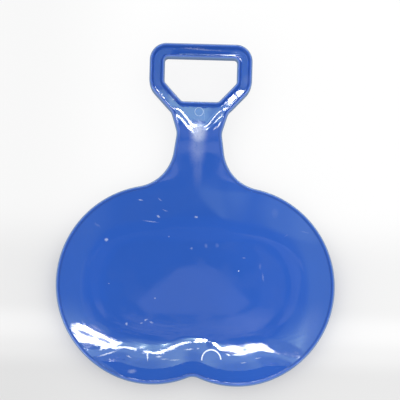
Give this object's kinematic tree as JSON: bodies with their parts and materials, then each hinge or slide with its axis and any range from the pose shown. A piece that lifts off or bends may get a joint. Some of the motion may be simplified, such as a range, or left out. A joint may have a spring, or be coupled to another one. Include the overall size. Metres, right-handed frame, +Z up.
{
  "type": "toboggan",
  "caption": "Snow slider moulded in one piece: dished heart-shaped seat pan with a beaded rim, rising neck and D-shaped handle with a hand hole.",
  "frame": {"origin": "on the ground under the middle of the outline's bounding box, with the slider lying on its sliding face, seat side up", "axes": "+X to the rider's right across the pan, +Y along the neck towards the handle, +Z up, away from the snow"},
  "size_m": [0.366, 0.4501, 0.0552],
  "materials": {
    "blue_polyethylene": "glossy injection-moulded polyethylene, lightly scuffed"
  },
  "bodies": {
    "root": {"sled_moulding": "blue_polyethylene"}
  },
  "joints": []
}
